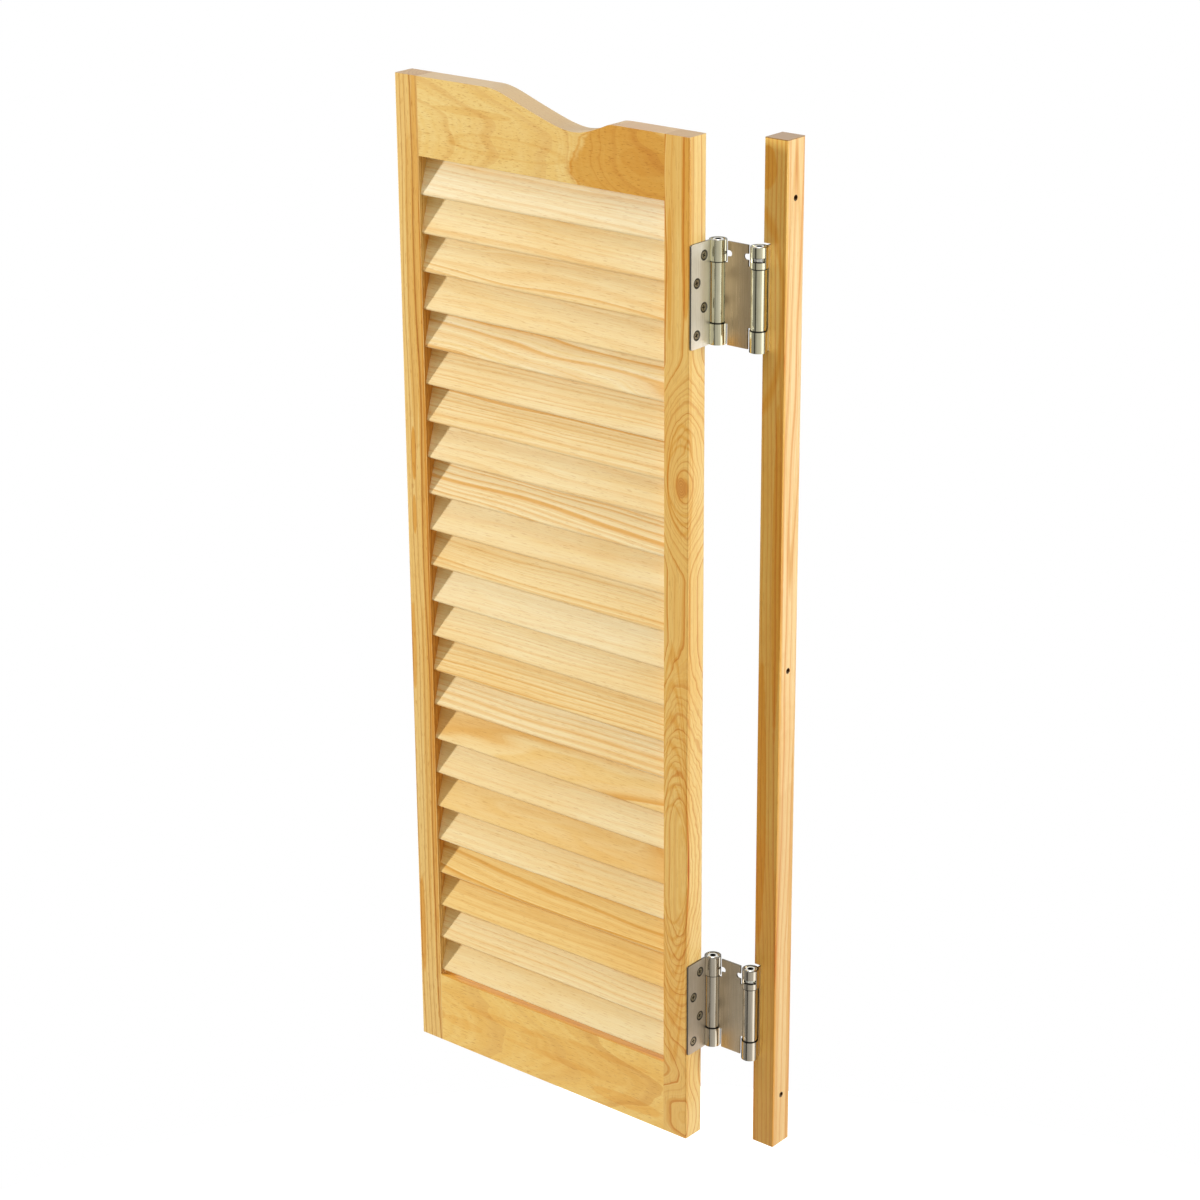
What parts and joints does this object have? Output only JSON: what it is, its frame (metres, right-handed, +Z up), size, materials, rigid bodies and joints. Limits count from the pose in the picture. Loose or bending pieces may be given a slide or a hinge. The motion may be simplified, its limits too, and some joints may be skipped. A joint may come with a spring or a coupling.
{
  "type": "louvred swing door",
  "caption": "Louvred wooden cafe door leaf with an ogee-dipped top, hung by double-action spring hinges from a notched wooden strip that screws to the door jamb.",
  "frame": {"origin": "centre of the middle screw hole of the mounting strip, on the face that lies on the door jamb", "axes": "+X out of that face into the jamb, -Y the front of the door, +Z up along the strip"},
  "size_m": [0.4445, 0.0754, 1.071],
  "materials": {
    "pine_frame": "satin",
    "pine_louvre": "satin",
    "pine_strip": "satin",
    "beech_dowel": "matte",
    "hinge_plate": "satin nickel",
    "adjuster_cap": "polished",
    "pin_steel": "turned",
    "spring_steel": "oiled",
    "screw_steel": "satin nickel"
  },
  "bodies": {
    "jamb": {"jamb_strip": "pine_strip", "upper_jamb_leaf": "hinge_plate", "lower_jamb_leaf": "hinge_plate", "upper_jamb_pivot_pin": "pin_steel", "lower_jamb_pivot_pin": "pin_steel", "jamb_leaf_screws": "screw_steel"},
    "upper_centre": {"upper_centre_plate": "hinge_plate", "upper_jamb_spring": "spring_steel", "upper_door_spring": "spring_steel"},
    "lower_centre": {"lower_centre_plate": "hinge_plate", "lower_jamb_spring": "spring_steel", "lower_door_spring": "spring_steel"},
    "door": {"free_stile": "pine_frame", "hinge_stile": "pine_frame", "top_rail": "pine_frame", "bottom_rail": "pine_frame", "louvre_01": "pine_louvre", "louvre_02": "pine_louvre", "louvre_03": "pine_louvre", "louvre_04": "pine_louvre", "louvre_05": "pine_louvre", "louvre_06": "pine_louvre", "louvre_07": "pine_louvre", "louvre_08": "pine_louvre", "louvre_09": "pine_louvre", "louvre_10": "pine_louvre", "louvre_11": "pine_louvre", "louvre_12": "pine_louvre", "louvre_13": "pine_louvre", "louvre_14": "pine_louvre", "louvre_15": "pine_louvre", "louvre_16": "pine_louvre", "louvre_17": "pine_louvre", "louvre_18": "pine_louvre", "louvre_19": "pine_louvre", "louvre_20": "pine_louvre", "louvre_21": "pine_louvre", "louvre_22": "pine_louvre", "louvre_23": "pine_louvre", "rail_dowels": "beech_dowel", "upper_door_leaf": "hinge_plate", "lower_door_leaf": "hinge_plate", "upper_door_pivot_pin": "pin_steel", "lower_door_pivot_pin": "pin_steel", "door_leaf_screws": "screw_steel"},
    "upper_jamb_adjuster": {"upper_jamb_adjuster": "adjuster_cap"},
    "upper_door_adjuster": {"upper_door_adjuster": "adjuster_cap"},
    "lower_jamb_adjuster": {"lower_jamb_adjuster": "adjuster_cap"},
    "lower_door_adjuster": {"lower_door_adjuster": "adjuster_cap"}
  },
  "joints": [
    {"name": "upper_jamb_swing", "type": "hinge", "parent": "jamb", "child": "upper_centre", "pos_m": [-0.0231, -0.02415, 0.3757], "axis": [0, 0, 1], "range_deg": [-90, 20], "stiffness_Nm_per_rad": 0.3, "springref_deg": -112.87},
    {"name": "lower_jamb_swing", "type": "hinge", "parent": "jamb", "child": "lower_centre", "pos_m": [-0.0231, -0.02415, -0.3742], "axis": [0, 0, 1], "range_deg": [-90, 20], "stiffness_Nm_per_rad": 0.3, "springref_deg": -112.87},
    {"name": "door_swing", "type": "hinge", "parent": "upper_centre", "child": "door", "pos_m": [-0.0711, -0.02415, 0.3757], "axis": [0, 0, 1], "range_deg": [-20, 90], "stiffness_Nm_per_rad": 0.6, "springref_deg": 112.87},
    {"name": "upper_jamb_winding", "type": "hinge", "parent": "jamb", "child": "upper_jamb_adjuster", "pos_m": [-0.0231, -0.02415, 0.41634], "axis": [0, 0, 1], "range_deg": [0, 270]},
    {"name": "upper_door_winding", "type": "hinge", "parent": "door", "child": "upper_door_adjuster", "pos_m": [-0.0711, -0.02415, 0.41634], "axis": [0, 0, 1], "range_deg": [0, 270]},
    {"name": "lower_jamb_winding", "type": "hinge", "parent": "jamb", "child": "lower_jamb_adjuster", "pos_m": [-0.0231, -0.02415, -0.33356], "axis": [0, 0, 1], "range_deg": [0, 270]},
    {"name": "lower_door_winding", "type": "hinge", "parent": "door", "child": "lower_door_adjuster", "pos_m": [-0.0711, -0.02415, -0.33356], "axis": [0, 0, 1], "range_deg": [0, 270]}
  ],
  "couplings": [
    {"joint": "lower_jamb_swing", "follows": "upper_jamb_swing", "ratio": 1}
  ]
}
